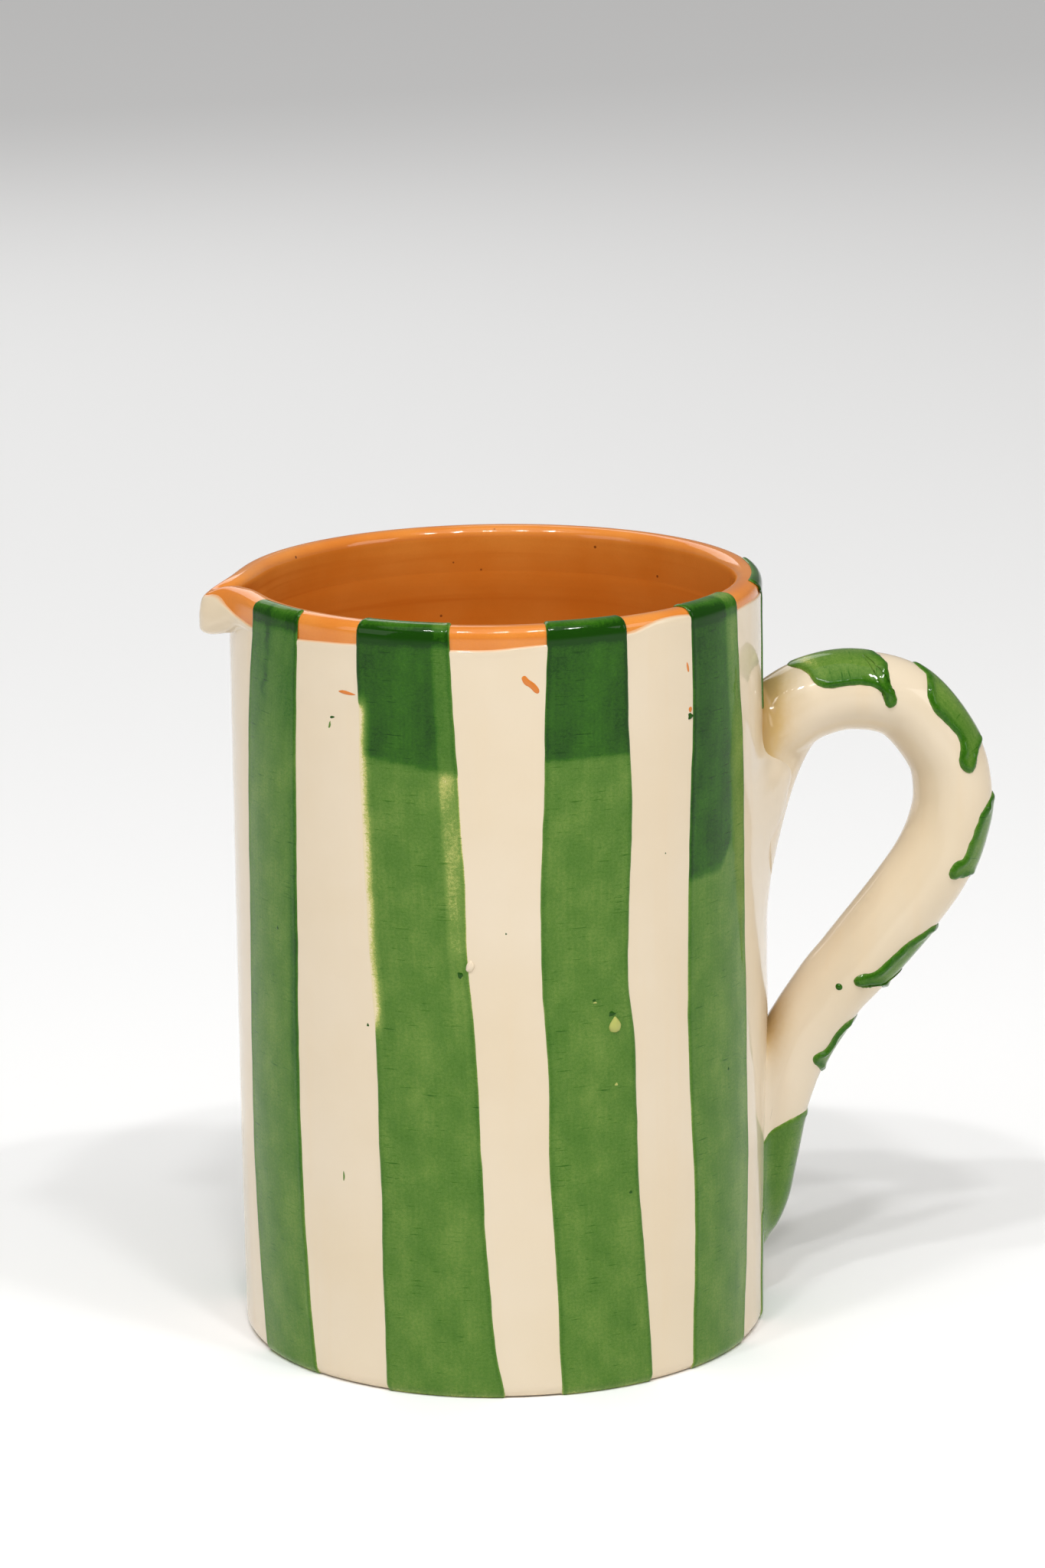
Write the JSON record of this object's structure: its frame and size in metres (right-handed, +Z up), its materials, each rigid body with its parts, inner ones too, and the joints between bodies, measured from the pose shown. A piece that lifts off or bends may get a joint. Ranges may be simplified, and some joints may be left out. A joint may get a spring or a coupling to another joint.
{
  "type": "ceramic pitcher",
  "caption": "Straight-sided hand-thrown earthenware pitcher with a small pulled spout, a thick loop handle, cream slip and brushed green vertical stripes.",
  "frame": {"origin": "middle of the flat base, where the body's axis meets the surface that the pitcher stands on", "axes": "+Z up along the body's axis, +X out through the middle of the handle, -X out through the spout"},
  "size_m": [0.1698, 0.1133, 0.164],
  "materials": {
    "red_clay": "clear-glazed terracotta",
    "handle_clay": "clear-glazed terracotta",
    "cream_slip": "clear-glazed cream slip",
    "green_glaze": "glossy brushed green glaze"
  },
  "bodies": {
    "root": {"thrown_body": "red_clay", "handle": "handle_clay", "upper_handle_luting": "handle_clay", "lower_handle_luting": "handle_clay", "body_slip_coat": "cream_slip", "handle_slip_coat": "cream_slip", "stripe_1": "green_glaze", "stripe_2": "green_glaze", "stripe_3": "green_glaze", "stripe_4": "green_glaze", "stripe_5_upper": "green_glaze", "stripe_5_lower": "green_glaze", "stripe_6": "green_glaze", "stripe_7": "green_glaze", "stripe_8": "green_glaze", "stripe_9": "green_glaze", "handle_daub_1": "green_glaze", "handle_daub_2": "green_glaze", "handle_daub_3": "green_glaze", "handle_daub_4": "green_glaze", "handle_daub_5": "green_glaze", "handle_tail_patch": "green_glaze"}
  },
  "joints": []
}
